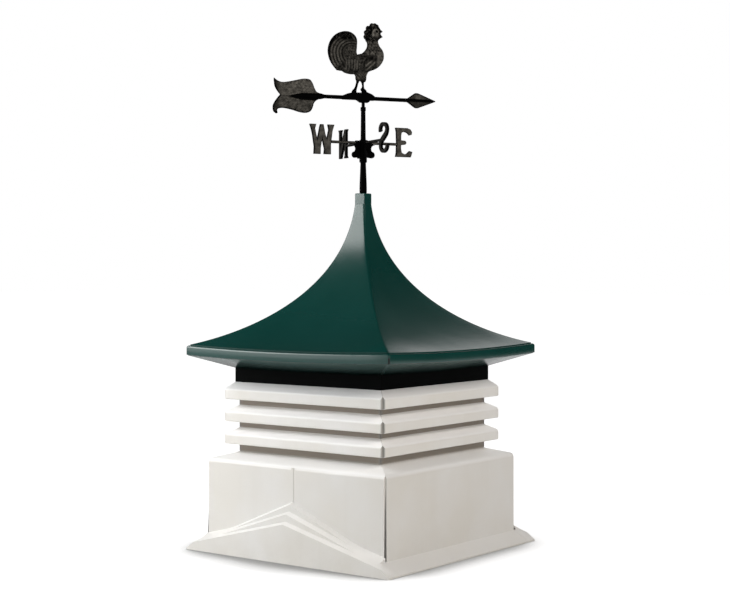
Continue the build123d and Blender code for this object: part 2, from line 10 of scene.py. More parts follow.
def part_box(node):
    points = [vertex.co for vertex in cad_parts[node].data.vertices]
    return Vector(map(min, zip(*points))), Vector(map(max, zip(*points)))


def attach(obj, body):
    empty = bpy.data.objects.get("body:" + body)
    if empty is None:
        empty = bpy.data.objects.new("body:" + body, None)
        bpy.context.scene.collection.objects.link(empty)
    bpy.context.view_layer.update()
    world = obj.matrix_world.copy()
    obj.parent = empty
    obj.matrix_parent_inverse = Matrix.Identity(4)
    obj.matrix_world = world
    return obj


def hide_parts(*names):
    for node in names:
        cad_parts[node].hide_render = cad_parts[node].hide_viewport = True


bl_info = {
    "name": "Barn Cupola",
    "version": (1, 0, 0),
    "blender": (4, 5, 0),
    "location": "View3D > Sidebar > Cupola",
    "description": "Builds a louvred barn cupola with a bell roof and a turning rooster weathervane",
    "category": "Object",
}

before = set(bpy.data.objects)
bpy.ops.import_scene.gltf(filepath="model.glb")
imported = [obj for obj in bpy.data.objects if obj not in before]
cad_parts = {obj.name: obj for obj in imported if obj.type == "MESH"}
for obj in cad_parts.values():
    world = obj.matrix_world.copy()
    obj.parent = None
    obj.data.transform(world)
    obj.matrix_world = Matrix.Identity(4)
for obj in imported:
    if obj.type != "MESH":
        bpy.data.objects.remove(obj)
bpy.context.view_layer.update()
MM = 0.001
SIDES = ("front", "right", "back", "left")

# ---- measures of the frame, in mm

VANE_TURN = 60.0         # degrees from +X to the way the arrow points at rest
ROD_Z = 1243.7           # height of the arrow
PERCH_Z = ROD_Z + 17.3   # height that the rooster stands on
EAVE = 347.1             # from the axis to the face of the fascia
EAVE_LOW, EAVE_TOP, ROOF_TOP = 532.6, 559.0, 948.0
TIP = 17.6               # from the axis to the roof's faces at its tip
BOW = 8600.0             # radius by which the eaves sag towards their middle
SKIN = 4.0               # thickness of the roof
BELL = ((1.0, 0.0), (0.662, 0.078), (0.074, 0.349), (0.0, 1.0))  # poles of the bell curve, as shares
BELL_STEPS = 48
EAVE_SINK = 0.3          # how far the eave's rounding lies under the bell curve
LIP = 1.2                # rounding at the foot of the fascia
NOSE = 290.0             # from the axis to the louvre noses
RIB = 4.0                # half the width of the centre rib on a gable face
RIB_BACK, RIB_ROUND = 0.55, 0.7  # how far the rib is set back, and its rounding
BASE_CORNER = 298.0      # the seams of the base lie beyond this both ways,
SEAM_FOOT = 40.0         # and above this
SEAM_ROUND = 2.4         # rounding of the upright edges beside a seam
LETTER_RIM, LETTER_STEP = 2.3, 0.55  # width of a letter's border, and the step inside it

# Ranges that paint masks fade over, in metres.
SHOULDER = (0.17, 0.24)        # up the base's walls to its shoulder
ABOVE_BASE = (0.262, 0.27)     # height where the louvre section begins
RECESS = (0.2446, 0.262)       # from the louvre walls out to their noses
MITRE = (0.004, 0.0105)        # beside the mitre of two louvre noses
CORNER_SEAM = (0.002, 0.005)   # beside the seam at a fascia's corner
FASCIA_TOP = (0.546, 0.549)
UNDER_EAVE = (0.26, 0.335)     # from the neck out to the fascia


class CupolaSettings(bpy.types.PropertyGroup):
    """Sizes and colours of the cupola."""
    panel_edge: bpy.props.FloatProperty(
        name="Panel edge", description="Rounding along the edges of the moulded panels",
        default=0.0016, unit="LENGTH")
    mitre: bpy.props.FloatProperty(
        name="Louvre mitre", description="Rounding where two louvre noses meet in a corner",
        default=0.0062, unit="LENGTH")
    casting_edge: bpy.props.FloatProperty(
        name="Casting edge", description="Rounding along the edges of the cast pieces",
        default=0.0011, unit="LENGTH")
    eave_edge: bpy.props.FloatProperty(
        name="Eave edge", description="Rounding along the top of the eave",
        default=0.006, unit="LENGTH")
    hip_edge: bpy.props.FloatProperty(
        name="Hip edge", description="Rounding of the roof where two faces meet",
        default=0.005, unit="LENGTH")
    relief: bpy.props.FloatProperty(
        name="Feather relief", description="How strongly the feathers stand out of the casting",
        default=1.0, min=0.0, max=2.0)
    voxel: bpy.props.FloatProperty(
        name="Casting detail", description="Size of the finest faces of the carved castings",
        default=0.001, unit="LENGTH")
    white: bpy.props.FloatVectorProperty(
        name="Panels", description="Colour of the moulded panels", subtype="COLOR", size=4,
        default=(0.815, 0.808, 0.79, 1.0))
    green: bpy.props.FloatVectorProperty(
        name="Roof", description="Colour of the roof", subtype="COLOR", size=4,
        default=(0.001, 0.040, 0.033, 1.0))
    black: bpy.props.FloatVectorProperty(
        name="Vane", description="Colour of the vane in its hollows", subtype="COLOR", size=4,
        default=(0.0012, 0.0012, 0.0012, 1.0))
    wear_and_sheen: bpy.props.FloatVectorProperty(
        name="Vane highlights", description="Colour of the vane where its relief stands up",
        subtype="COLOR", size=4, default=(0.24, 0.228, 0.202, 1.0))


# ---- node trees

def connect(tree, node, **sockets):
    """Links outputs to a node's sockets or sets plain values, by name or as i0, i1 by number."""
    for key, value in sockets.items():
        numbered = key[0] == "i" and key[1:].isdigit()
        socket = node.inputs[int(key[1:]) if numbered else key.replace("_", " ")]
        if isinstance(value, bpy.types.NodeSocket):
            tree.links.new(value, socket)
        else:
            socket.default_value = value


def add(tree, kind, settings=None, **sockets):
    """One node with its settings and sockets."""
    made = tree.nodes.new(kind)
    for key, value in (settings or {}).items():
        setattr(made, key, value)
    connect(tree, made, **sockets)
    return made


def noise_field(tree, coords, scale, detail, rough=0.5):
    """Soft noise from 0 to 1."""
    return add(tree, "ShaderNodeTexNoise", Vector=coords, Scale=scale, Detail=detail,
               Roughness=rough).outputs["Fac"]


def span(tree, value, low, high, to_low=0.0, to_high=1.0):
    """A value moved from one range to another, held at both ends."""
    return add(tree, "ShaderNodeMapRange", Value=value, From_Min=low, From_Max=high, To_Min=to_low,
               To_Max=to_high).outputs["Result"]


def maths(tree, what, a, b=0.0):
    """One sum over values or outputs."""
    return add(tree, "ShaderNodeMath", {"operation": what}, i0=a, i1=b).outputs[0]


def times(tree, first, *others):
    """The product of two or more masks."""
    for other in others:
        first = maths(tree, "MULTIPLY", first, other)
    return first


def blend_colour(tree, factor, a, b):
    """Colour a where the factor is 0, colour b where it is 1."""
    return add(tree, "ShaderNodeMix", {"data_type": "RGBA"}, i0=factor, i6=a, i7=b).outputs[2]


def tint(colour, *shares):
    """A colour with its channels scaled, none past 1."""
    return tuple(min(1.0, part * share) for part, share in zip(colour, shares)) + (1.0,)


def object_place(tree):
    """Where a point lies on the cupola: outputs X, Y and Z."""
    return add(tree, "ShaderNodeSeparateXYZ", Vector=add(tree, "ShaderNodeTexCoord").outputs["Object"]).outputs


def facing_up(tree):
    """Height of the face's normal: 1 on level tops, 0 on walls, -1 underneath."""
    normal = add(tree, "ShaderNodeNewGeometry").outputs["Normal"]
    return add(tree, "ShaderNodeSeparateXYZ", Vector=normal).outputs["Z"]


def plan_sides(tree, place):
    """Distances of a point from the two planes through the middle."""
    return [maths(tree, "ABSOLUTE", place[axis]) for axis in "XY"]


def off_middle(tree, place):
    """How far out a point is on the square plan."""
    return maths(tree, "MAXIMUM", *plan_sides(tree, place))


def off_corner(tree, place):
    """How far a point is from the diagonals, where the corners are mitred."""
    return maths(tree, "ABSOLUTE", maths(tree, "SUBTRACT", *plan_sides(tree, place)))


def seen_rays(tree):
    """1 for rays that show a surface directly, in a mirror or through glass."""
    rays = add(tree, "ShaderNodeLightPath").outputs
    return maths(tree, "MAXIMUM", rays["Is Camera Ray"],
                 maths(tree, "MAXIMUM", rays["Is Glossy Ray"], rays["Is Transmission Ray"]))


def group(name, inputs, outputs):
    """A node group with float inputs, and whether it is new and still empty."""
    tree = bpy.data.node_groups.get(name)
    if tree:
        return tree, False
    tree = bpy.data.node_groups.new(name, "ShaderNodeTree")
    for label, value in inputs.items():
        tree.interface.new_socket(label, in_out="INPUT", socket_type="NodeSocketFloat").default_value = value
    for label, kind in outputs.items():
        tree.interface.new_socket(label, in_out="OUTPUT", socket_type=kind)
    return tree, True


def grain_group():
    """Fine and broad surface waviness as one normal, for moulded and cast faces alike."""
    tree, new = group("Moulded Grain",
                      {"Fine Scale": 600.0, "Fine Depth": 0.00006, "Broad Scale": 7.0, "Broad Depth": 0.0008},
                      {"Normal": "NodeSocketVector", "Fine": "NodeSocketFloat", "Broad": "NodeSocketFloat"})
    if new:
        entry, leave = tree.nodes.new("NodeGroupInput"), tree.nodes.new("NodeGroupOutput")
        coords = add(tree, "ShaderNodeTexCoord").outputs["Object"]
        fine = noise_field(tree, coords, entry.outputs["Fine Scale"], 2.0)
        broad = noise_field(tree, coords, entry.outputs["Broad Scale"], 3.0, 0.45)
        wavy = add(tree, "ShaderNodeBump", Strength=1.0, Distance=entry.outputs["Broad Depth"], Height=broad)
        grainy = add(tree, "ShaderNodeBump", Strength=1.0, Distance=entry.outputs["Fine Depth"], Height=fine,
                     Normal=wavy.outputs["Normal"])
        connect(tree, leave, Normal=grainy.outputs["Normal"], Fine=fine, Broad=broad)
    return tree


def dust_group():
    """Mask of dust: thicker low down, in runs below edges, and in soft patches."""
    tree, new = group("Dust Runs", {"Low": 0.0, "High": 0.12}, {"Mask": "NodeSocketFloat"})
    if new:
        entry, leave = tree.nodes.new("NodeGroupInput"), tree.nodes.new("NodeGroupOutput")
        coords = add(tree, "ShaderNodeTexCoord").outputs["Object"]
        height = add(tree, "ShaderNodeSeparateXYZ", Vector=coords).outputs["Z"]
        low = span(tree, height, entry.outputs["Low"], entry.outputs["High"], 1.0, 0.0)
        stretched = add(tree, "ShaderNodeMapping", Vector=coords, Scale=(26.0, 26.0, 1.6)).outputs["Vector"]
        runs = span(tree, noise_field(tree, stretched, 1.0, 4.0), 0.5, 0.72)
        patches = span(tree, noise_field(tree, coords, 9.0, 5.0, 0.6), 0.42, 0.7)
        both = maths(tree, "ADD", times(tree, runs, 0.35), times(tree, patches, 0.3))
        mask = maths(tree, "ADD", both, times(tree, low, maths(tree, "ADD", patches, 0.35)))
        connect(tree, leave, Mask=maths(tree, "MINIMUM", mask, 1.0))
    return tree


def use_group(tree, group_tree, **values):
    """Outputs of a node group that is given these values."""
    return add(tree, "ShaderNodeGroup", {"node_tree": group_tree}, **values).outputs


# ---- materials

def empty_tree(holder):
    """The node tree of a material or world, emptied."""
    holder.use_nodes = True
    holder.node_tree.nodes.clear()
    return holder.node_tree


def new_material(name):
    """A material with its shader, or the one already made, with None for its tree and shader."""
    material = bpy.data.materials.get(name)
    if material:
        return material, None, None
    material = bpy.data.materials.new(name)
    tree = empty_tree(material)
    shader = add(tree, "ShaderNodeBsdfPrincipled")
    add(tree, "ShaderNodeOutputMaterial", Surface=shader.outputs["BSDF"])
    return material, tree, shader


def panel_white(name="Panel White", shade=1.0):
    """Moulded off-white panels with orange peel, slight waviness and dust, painted light on their upward faces,
    and painted shade in the louvre recesses and at the louvre mitres.
    """
    material, tree, shader = new_material(name)
    if tree:
        colour = tint(bpy.context.scene.cupola.white[:3], shade, shade, shade)
        dusty = tint(colour, 0.80, 0.775, 0.73)
        grain = use_group(tree, grain_group(), Fine_Scale=420.0, Fine_Depth=0.00007, Broad_Scale=6.0,
                          Broad_Depth=0.0012)
        dust = use_group(tree, dust_group(), Low=0.0, High=0.1)
        place = object_place(tree)
        upwards = facing_up(tree)
        louvred = span(tree, place["Z"], *ABOVE_BASE)

        base = blend_colour(tree, span(tree, grain["Broad"], 0.35, 0.65), colour,
                            tint(colour, 0.965, 0.95, 0.92))
        base = blend_colour(tree, times(tree, dust["Mask"], 0.26), base, dusty)
        base = blend_colour(tree, span(tree, grain["Fine"], 0.3, 0.7, 0.0, 0.10), base, dusty)
        # painted shade: the recesses between the louvres, from the walls out towards the noses, are painted a
        # darker brown grey
        deep = times(tree, span(tree, off_middle(tree, place), *RECESS, 1.0, 0.0), louvred)
        base = blend_colour(tree, deep, base, tint(colour, 0.36, 0.315, 0.27))
        # painted light: faces that look up are painted lighter, more so higher up towards the shoulder
        painted_top_light = times(tree, span(tree, upwards, 0.12, 0.6), span(tree, place["Z"], *SHOULDER, 0.4, 0.9))
        base = blend_colour(tree, painted_top_light, base, tint(colour, 1.17, 1.18, 1.2))
        # painted shade in the notch where two louvre noses meet: upright faces beside the mitre are darker
        upright = span(tree, maths(tree, "ABSOLUTE", upwards), 0.2, 0.5, 1.0, 0.0)
        mitre = times(tree, span(tree, off_corner(tree, place), *MITRE, 1.0, 0.0), upright, louvred)
        base = blend_colour(tree, times(tree, mitre, 0.75), base, tint(colour, 0.34, 0.33, 0.32))
        connect(tree, shader, Base_Color=base, Roughness=span(tree, grain["Broad"], 0.3, 0.7, 0.40, 0.52),
                Normal=grain["Normal"], Specular_IOR_Level=0.35)
    return material


def roof_green(name="Roof Green", under=False):
    """Glossy dark green roof skin with soft mottling and a faint bloom; under the eaves a copy darkened with
    painted shade, and lighter towards the fascia with painted light.
    """
    material, tree, shader = new_material(name)
    if tree:
        # under the eaves the green is darkened to about an eighth: painted shade
        shade = 0.12 if under else 1.0
        colour = tint(bpy.context.scene.cupola.green[:3], shade, shade, shade)
        bloom = (colour[0] * 2.0 + 0.001, colour[1] * 1.3, colour[2] * 1.35, 1.0)
        grain = use_group(tree, grain_group(), Fine_Scale=300.0, Fine_Depth=0.00005, Broad_Scale=5.0,
                          Broad_Depth=0.0014)
        place = object_place(tree)
        base = blend_colour(tree, span(tree, grain["Broad"], 0.38, 0.68, 0.0, 0.5), colour, bloom)
        base = blend_colour(tree, span(tree, grain["Fine"], 0.35, 0.75, 0.0, 0.2), base, bloom)
        seam = times(tree, span(tree, off_corner(tree, place), *CORNER_SEAM, 1.0, 0.0),
                     span(tree, place["Z"], *FASCIA_TOP, 1.0, 0.0))
        base = blend_colour(tree, seam, base, (0.0005, 0.002, 0.0018, 1.0))
        if under:
            # painted light: the soffit is lighter out towards the fascia, where more light reaches it
            outer = span(tree, off_middle(tree, place), *UNDER_EAVE)
            base = blend_colour(tree, outer, base, (0.06, 0.1, 0.095, 1.0))
        rough = maths(tree, "MAXIMUM", span(tree, grain["Broad"], 0.3, 0.7, 0.19, 0.26), times(tree, seam, 0.8))
        connect(tree, shader, Base_Color=base, Roughness=rough, Normal=grain["Normal"], Specular_IOR_Level=0.42,
                IOR=1.1 if under else 1.5)
    return material


def neck_black():
    """Plain black band with a fine matt grain."""
    material, tree, shader = new_material("Neck Black")
    if tree:
        grain = use_group(tree, grain_group(), Fine_Scale=700.0, Fine_Depth=0.00008, Broad_Scale=12.0,
                          Broad_Depth=0.0005)
        base = blend_colour(tree, span(tree, grain["Broad"], 0.4, 0.7), (0.0006, 0.0008, 0.0008, 1.0),
                            (0.0016, 0.002, 0.002, 1.0))
        connect(tree, shader, Base_Color=base, Roughness=span(tree, grain["Fine"], 0.3, 0.7, 0.5, 0.68),
                Normal=grain["Normal"], IOR=1.08)
    return material


def vane_black():
    """Black paint on castings: pitted, and greyer where the relief or an edge stands up, a mix of wear and
    painted highlights.
    """
    material, tree, shader = new_material("Vane Black")
    if tree:
        settings = bpy.context.scene.cupola
        grain = use_group(tree, grain_group(), Fine_Scale=900.0, Fine_Depth=0.00012, Broad_Scale=95.0,
                          Broad_Depth=0.0003)
        tone = add(tree, "ShaderNodeAttribute", {"attribute_name": "tone"}).outputs["Fac"]
        patches = span(tree, grain["Broad"], 0.3, 0.7, 0.45, 1.25)
        pits = span(tree, grain["Fine"], 0.3, 0.6, 0.75, 1.0)
        base = blend_colour(tree, times(tree, tone, patches, pits), tuple(settings.black), tuple(settings.wear_and_sheen))
        connect(tree, shader, Base_Color=base, Roughness=span(tree, grain["Broad"], 0.3, 0.7, 0.42, 0.62),
                Normal=grain["Normal"], IOR=1.065)
    return material


# ---- mesh helpers

def solid(*names):
    """The merged shape of CAD nodes, its flat faces joined."""
    bm = bmesh.new()
    for name in names:
        bm.from_mesh(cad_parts[name].data)
    bmesh.ops.remove_doubles(bm, verts=bm.verts, dist=2e-6)
    bmesh.ops.dissolve_limit(bm, angle_limit=math.radians(0.6), verts=bm.verts, edges=bm.edges)
    return bm


def sharp_edges(bm, angle):
    """Edges between two faces that bend by more than the angle, in degrees."""
    return [e for e in bm.edges if e.is_manifold and e.calc_face_angle() > math.radians(angle)]


def bevel(bm, edges, width, segments):
    """Rounds the given edges."""
    bmesh.ops.bevel(bm, geom=edges, offset=width, offset_type="OFFSET", segments=segments, profile=0.5,
                    affect="EDGES", clamp_overlap=True, material=-1)


def soften(bm, width, segments, angle):
    """Rounds every edge sharper than the angle."""
    bevel(bm, sharp_edges(bm, angle), width, segments)


def smooth_line(points):
    """Points along a smooth line through the given ones, short of the last."""
    out = []
    for i in range(len(points) - 1):
        quad = [points[min(max(i + k, 0), len(points) - 1)] for k in (-1, 0, 1, 2)]
        for t in (0.0, 0.25, 0.5, 0.75):
            out.append(tuple(0.5 * (2 * b + (c - a) * t + (2 * a - 5 * b + 4 * c - d) * t ** 2
                                    + (3 * b - a - 3 * c + d) * t ** 3) for a, b, c, d in zip(*quad)))
    return out


def outline(*runs):
    """A closed line made of smooth runs that meet in corners. A run of two points is straight."""
    points = []
    for run in runs:
        points += smooth_line(run) if len(run) > 2 else [run[0]]
    return points


def plate(bm, points, thick, up):
    """A flat casting blank standing in the XZ plane, its points in mm from the height up."""
    face = bm.faces.new([bm.verts.new((u * MM, -thick * MM / 2, (v + up) * MM)) for u, v in points])
    grown = bmesh.ops.extrude_face_region(bm, geom=[face])["geom"]
    far = [part for part in grown if isinstance(part, bmesh.types.BMVert)]
    bmesh.ops.translate(bm, verts=far, vec=(0, thick * MM, 0))


def bulb(bm, u, h, long, short, deep, tilt, up):
    """An ellipsoid on the casting's plane, for its rounded forms."""
    place = (Matrix.Translation((u * MM, 0, (h + up) * MM)) @ Matrix.Rotation(-math.radians(tilt), 4, "Y")
             @ Matrix.Diagonal((long * MM, deep * MM, short * MM, 1)))
    bmesh.ops.create_uvsphere(bm, u_segments=40, v_segments=24, radius=1.0, matrix=place)


def turn_profile(bm, points, middle, axis, steps):
    """Turns a line of points round an axis into a closed skin."""
    line = [bm.verts.new(point) for point in points]
    edges = [bm.edges.new(pair) for pair in zip(line, line[1:])]
    bmesh.ops.spin(bm, geom=line + edges, cent=middle, axis=axis, angle=math.tau, steps=steps, use_merge=True)
    bmesh.ops.remove_doubles(bm, verts=bm.verts, dist=1e-6)
    bmesh.ops.holes_fill(bm, edges=[e for e in bm.edges if e.is_boundary], sides=0)
    bmesh.ops.recalc_face_normals(bm, faces=bm.faces)


def spindle(bm, stations, up):
    """A round bar along X whose radius changes from station to station."""
    turn_profile(bm, [(u * MM, 0, (up + r) * MM) for u, r in stations], (0, 0, up * MM), (1, 0, 0), 32)


def recast(bm, voxel, passes):
    """Joins overlapping blanks into one closed skin of even faces, and smooths it."""
    bmesh.ops.recalc_face_normals(bm, faces=bm.faces)
    rough = bpy.data.meshes.new("blank")
    bm.to_mesh(rough)
    bm.free()
    holder = bpy.data.objects.new("blank", rough)
    bpy.context.scene.collection.objects.link(holder)
    remesh = holder.modifiers.new("Skin", "REMESH")
    remesh.mode = "VOXEL"
    remesh.voxel_size = voxel
    skin = bpy.data.meshes.new_from_object(holder.evaluated_get(bpy.context.evaluated_depsgraph_get()))
    bpy.data.objects.remove(holder)
    out = bmesh.new()
    out.from_mesh(skin)
    bpy.data.meshes.remove(rough)
    bpy.data.meshes.remove(skin)
    if not out.faces:
        raise RuntimeError("the blank could not be given one skin")
    for _ in range(passes):
        bmesh.ops.smooth_vert(out, verts=out.verts, factor=0.5, use_axis_x=True, use_axis_y=True,
                              use_axis_z=True)
    return out


def carve(bm, relief, strength):
    """Moves both broad faces by the relief, in millimetres, and keeps its tone for the paint."""
    layer = bm.verts.layers.float.new("tone")
    bm.normal_update()
    for vert in bm.verts:
        facing = abs(vert.normal.y)
        height, tone = relief(vert.co.x / MM, vert.co.z / MM)
        vert.co.y += math.copysign(height * strength * MM * facing ** 0.7, vert.normal.y)
        vert[layer] = tone * ease(0.25, 0.85, facing)


def finish_piece(name, bm, material, body, nodes, smooth=38.0, weighted=False):
    """Turns a bmesh into a piece at the origin that rides on its body in place of CAD nodes."""
    for face in bm.faces:
        face.smooth = True
        face.material_index = 0
    for edge in bm.edges:
        edge.smooth = not edge.is_manifold or edge.calc_face_angle() < math.radians(smooth)
    mesh = bpy.data.meshes.new(name)
    bm.to_mesh(mesh)
    bm.free()
    mesh.materials.append(material)
    piece = bpy.data.objects.new(name, mesh)
    bpy.context.scene.collection.objects.link(piece)
    if weighted:
        piece.modifiers.new("Even Normals", "WEIGHTED_NORMAL").keep_sharp = True
    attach(piece, body)
    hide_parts(*nodes)


def turn_vane(bm):
    """Turns pieces drawn along X to the way the vane points at rest."""
    turn = Matrix.Rotation(math.radians(VANE_TURN), 3, "Z")
    bmesh.ops.rotate(bm, verts=bm.verts, cent=(0, 0, 0), matrix=turn)


def round_node(name, node, material, body, width, angle=35.0):
    """A piece that is one CAD node with its edges rounded."""
    bm = solid(node)
    soften(bm, width, 2, angle)
    finish_piece(name, bm, material, body, [node], weighted=True)


def ease(a, b, x):
    """0 below a, 1 above b, smooth between."""
    t = min(max((x - a) / (b - a), 0.0), 1.0)
    return t * t * (3 - 2 * t)


def within(x, a, b, soft):
    """1 between a and b, easing to 0 outside them."""
    return ease(a - soft, a + soft, x) * (1 - ease(b - soft, b + soft, x))


# ---- pieces

class CUPOLA_OT_base_panels(bpy.types.Operator):
    """Rounds the four moulded panels of the base"""
    bl_idname = "cupola.base_panels"
    bl_label = "Base Panels"

    def execute(self, context):
        for side in SIDES:
            bm = solid(f"base_panel_{side}")
            along = SIDES.index(side) % 2
            rib = [e for e in sharp_edges(bm, 28) if e.calc_face_angle_signed() > 0
                   and all(abs(abs(v.co[along]) - RIB * MM) < 0.2 * MM for v in e.verts)]
            for vert in {v for e in rib for v in e.verts}:
                vert.co[1 - along] -= math.copysign(RIB_BACK * MM, vert.co[1 - along])
            bevel(bm, rib, RIB_ROUND * MM, 3)
            seam = [e for e in sharp_edges(bm, 40) if e.calc_face_angle_signed() > 0
                    and all(min(abs(v.co.x), abs(v.co.y)) > BASE_CORNER * MM and v.co.z > SEAM_FOOT * MM
                            for v in e.verts)
                    and abs(e.verts[0].co.z - e.verts[1].co.z) > 20 * MM]
            bevel(bm, seam, SEAM_ROUND * MM, 3)
            soften(bm, context.scene.cupola.panel_edge, 3, 40.0)
            finish_piece(f"base_{side}", bm, panel_white(), "cupola", [f"base_panel_{side}"],
                         weighted=True)
        return {"FINISHED"}


class CUPOLA_OT_louvres(bpy.types.Operator):
    """Rounds the louvre panels"""
    bl_idname = "cupola.louvres"
    bl_label = "Louvres"

    def execute(self, context):
        for side in SIDES:
            bm = solid(f"louvre_panel_{side}")
            mitred = [e for e in sharp_edges(bm, 28)
                      if all(abs(abs(v.co.x) - abs(v.co.y)) < 0.1 * MM and abs(v.co.x) > (NOSE - 3) * MM
                             for v in e.verts)]
            bevel(bm, mitred, context.scene.cupola.mitre, 3)
            soften(bm, context.scene.cupola.panel_edge, 2, 50.0)
            # the louvres are a lighter copy of the panel white: painted light, as more light falls on them than
            # on the base
            finish_piece(f"louvres_{side}", bm, panel_white("Louvre White Painted Lighter", 1.08), "cupola",
                         [f"louvre_panel_{side}"], weighted=True)
        return {"FINISHED"}


class CUPOLA_OT_neck(bpy.types.Operator):
    """Makes the black band under the soffit"""
    bl_idname = "cupola.neck"
    bl_label = "Neck"

    def execute(self, context):
        for side in SIDES:
            round_node(f"neck_{side}", f"neck_board_{side}", neck_black(), "cupola", 0.6 * MM, 28.0)
        return {"FINISHED"}


def roof_rows(edge):
    """Closed section of the roof shell as (distance from the axis, height) in mm, from the tip down
    the outside, round the eave and back up the inside."""
    bell = []
    for step in range(BELL_STEPS + 1):
        t = step / BELL_STEPS
        share = [(1 - t) ** 3 * a + 3 * t * (1 - t) ** 2 * b + 3 * t * t * (1 - t) * c + t ** 3 * d
                 for a, b, c, d in zip(*BELL)]
        n = TIP + share[0] * (EAVE - TIP)
        bell.append((n, EAVE_TOP + share[1] * (ROOF_TOP - EAVE_TOP) - n * n / (2 * BOW)))
    bell.reverse()
    top, low = bell[-1][1], EAVE_LOW - EAVE * EAVE / (2 * BOW)
    while bell[-1][0] > EAVE - edge:
        bell.pop()
    slope = math.atan2(top - bell[-1][1], EAVE - bell[-1][0])
    nose = [(EAVE - edge + edge * math.sin(turn), top - edge + edge * math.cos(turn) - EAVE_SINK)
            for turn in (slope + (math.pi / 2 - slope) * k / 5 for k in range(6))]
    lip = [(EAVE - LIP + LIP * math.cos(turn), low + LIP - LIP * math.sin(turn))
           for turn in (math.pi / 2 * k / 3 for k in range(4))]
    # the inside follows every fourth point of the bell
    inside = [(EAVE - SKIN, low), (EAVE - SKIN, top - SKIN)]
    for (a, za), (b, zb) in list(zip(bell[1:], bell))[::-4]:
        length = math.hypot(a - b, za - zb)
        inside.append((b + (za - zb) / length * SKIN, zb - (a - b) / length * SKIN))
    inside.append((bell[0][0] - SKIN, bell[0][1]))
    return bell + nose + lip + inside + bell[:1]


class CUPOLA_OT_roof(bpy.types.Operator):
    """Makes the one-piece bell roof, its soffit and the collar at its tip"""
    bl_idname = "cupola.roof"
    bl_label = "Roof"

    def execute(self, context):
        settings = context.scene.cupola
        rows = roof_rows(settings.eave_edge / MM)
        hip = settings.hip_edge / MM
        arcs, flats = 4, 14         # columns of faces round half a hip, and across a roof face
        bm = bmesh.new()
        for quarter in range(4):
            # one grid a side, its columns across the face and its rows along the section
            bmesh.ops.create_grid(bm, x_segments=flats + 2 * arcs, y_segments=len(rows) - 1, size=0.5)
            sheet = [v for v in bm.verts if not v.tag]
            for vert in sheet:
                n, z = rows[round((vert.co.y + 0.5) * (len(rows) - 1))]
                column = round((vert.co.x + 0.5) * (flats + 2 * arcs)) - arcs
                radius = min(hip, n * 0.3)      # smaller towards the tip
                side = n - radius
                past = max(-column, column - flats, 0) / arcs * math.pi / 4
                way = -1 if column < flats / 2 else 1
                x = way * (side + radius * math.sin(past)) if past else side * (2 * column / flats - 1)
                y = side + radius * math.cos(past)
                far = EAVE_LOW + BOW - z
                vert.co = (x * MM, -y * MM, (EAVE_LOW + BOW - math.sqrt(far * far - x * x)) * MM)
                vert.tag = True
            bmesh.ops.rotate(bm, verts=sheet, cent=(0, 0, 0),
                             matrix=Matrix.Rotation(quarter * math.pi / 2, 3, "Z"))
        bmesh.ops.remove_doubles(bm, verts=bm.verts, dist=2e-5)
        bmesh.ops.recalc_face_normals(bm, faces=bm.faces)
        finish_piece("bell_roof", bm, roof_green(), "cupola", [f"roof_panel_{side}" for side in SIDES],
                     smooth=50.0)

        soffit_green = roof_green("Soffit Green Painted Shade", under=True)
        round_node("soffit", "roof_pan", soffit_green, "cupola", 1.0 * MM)
        round_node("collar", "apex_collar", roof_green(), "cupola", 1.0 * MM)
        return {"FINISHED"}


class CUPOLA_OT_post(bpy.types.Operator):
    """Turns the post with its flared foot, ring and cap"""
    bl_idname = "cupola.post"
    bl_label = "Post"

    def execute(self, context):
        low, high = (corner.z / MM for corner in map(Vector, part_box("vane_post")))
        section = [
            (0.0, low), (7.8, low), (7.8, 978.5),  # in the collar
            (8.8, 978.9), (10.2, 981), (10.3, 992), (10.0, 1005), (9.0, 1030), (8.0, 1055),  # flared foot
            (7.65, 1063), (8.6, 1064.4), (10.2, 1065.2), (10.6, 1067), (10.6, 1074), (10.2, 1075.8),  # ring
            (8.6, 1076.6), (7.65, 1077), (7.65, 1127), (7.2, 1134), (6.4, 1207.5),  # shaft
            (6.5, 1208), (7.3, 1208.6), (7.5, 1210), (7.5, 1217), (7.1, 1218.6), (6.3, 1219),  # cap
            (2.5, 1219), (2.5, high - 2), (1.4, high), (0.0, high)]  # spindle
        bm = bmesh.new()
        turn_profile(bm, [(r * MM, 0, z * MM) for r, z in section], (0, 0, 0), (0, 0, 1), 48)
        finish_piece("post", bm, vane_black(), "cupola", ["vane_post"])
        return {"FINISHED"}


class CUPOLA_OT_compass(bpy.types.Operator):
    """Makes the compass hub with its scrolled brackets, and the four letters"""
    bl_idname = "cupola.compass"
    bl_label = "Compass"

    def execute(self, context):
        round_node("compass_bracket", "compass_hub", vane_black(), "cupola",
                   context.scene.cupola.casting_edge)
        # each letter with how light its two broad faces are: wear and a painted sheen, strongest on the letters
        # that face the front
        for name, wear_and_sheen in (("west", 0.42), ("east", 0.42), ("north", 0.1), ("south", 0.1)):
            node = f"letter_{name}"
            bm = solid(node)
            low, high = map(Vector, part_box(node))
            outward = Vector((low.x + high.x, low.y + high.y, 0)).normalized()
            side = outward.cross(Vector((0, 0, 1)))
            bm.normal_update()
            faces = [f for f in bm.faces if abs(f.normal.dot(side)) > 0.995 and f.calc_area() > 40 * MM * MM]
            border = bmesh.ops.inset_region(bm, faces=faces, thickness=LETTER_RIM * MM,
                                            depth=LETTER_STEP * MM, use_even_offset=True, use_boundary=True)
            layer = bm.verts.layers.float.new("tone")
            for face in faces:
                for vert in face.verts:
                    vert[layer] = wear_and_sheen
            rims = {e for f in border["faces"] for e in f.edges
                    if e.is_manifold and e.calc_face_angle() > math.radians(60)}
            bevel(bm, list(rims), 0.8 * MM, 2)
            finish_piece(f"compass_{name}", bm, vane_black(), "cupola", [node], weighted=True)
        return {"FINISHED"}


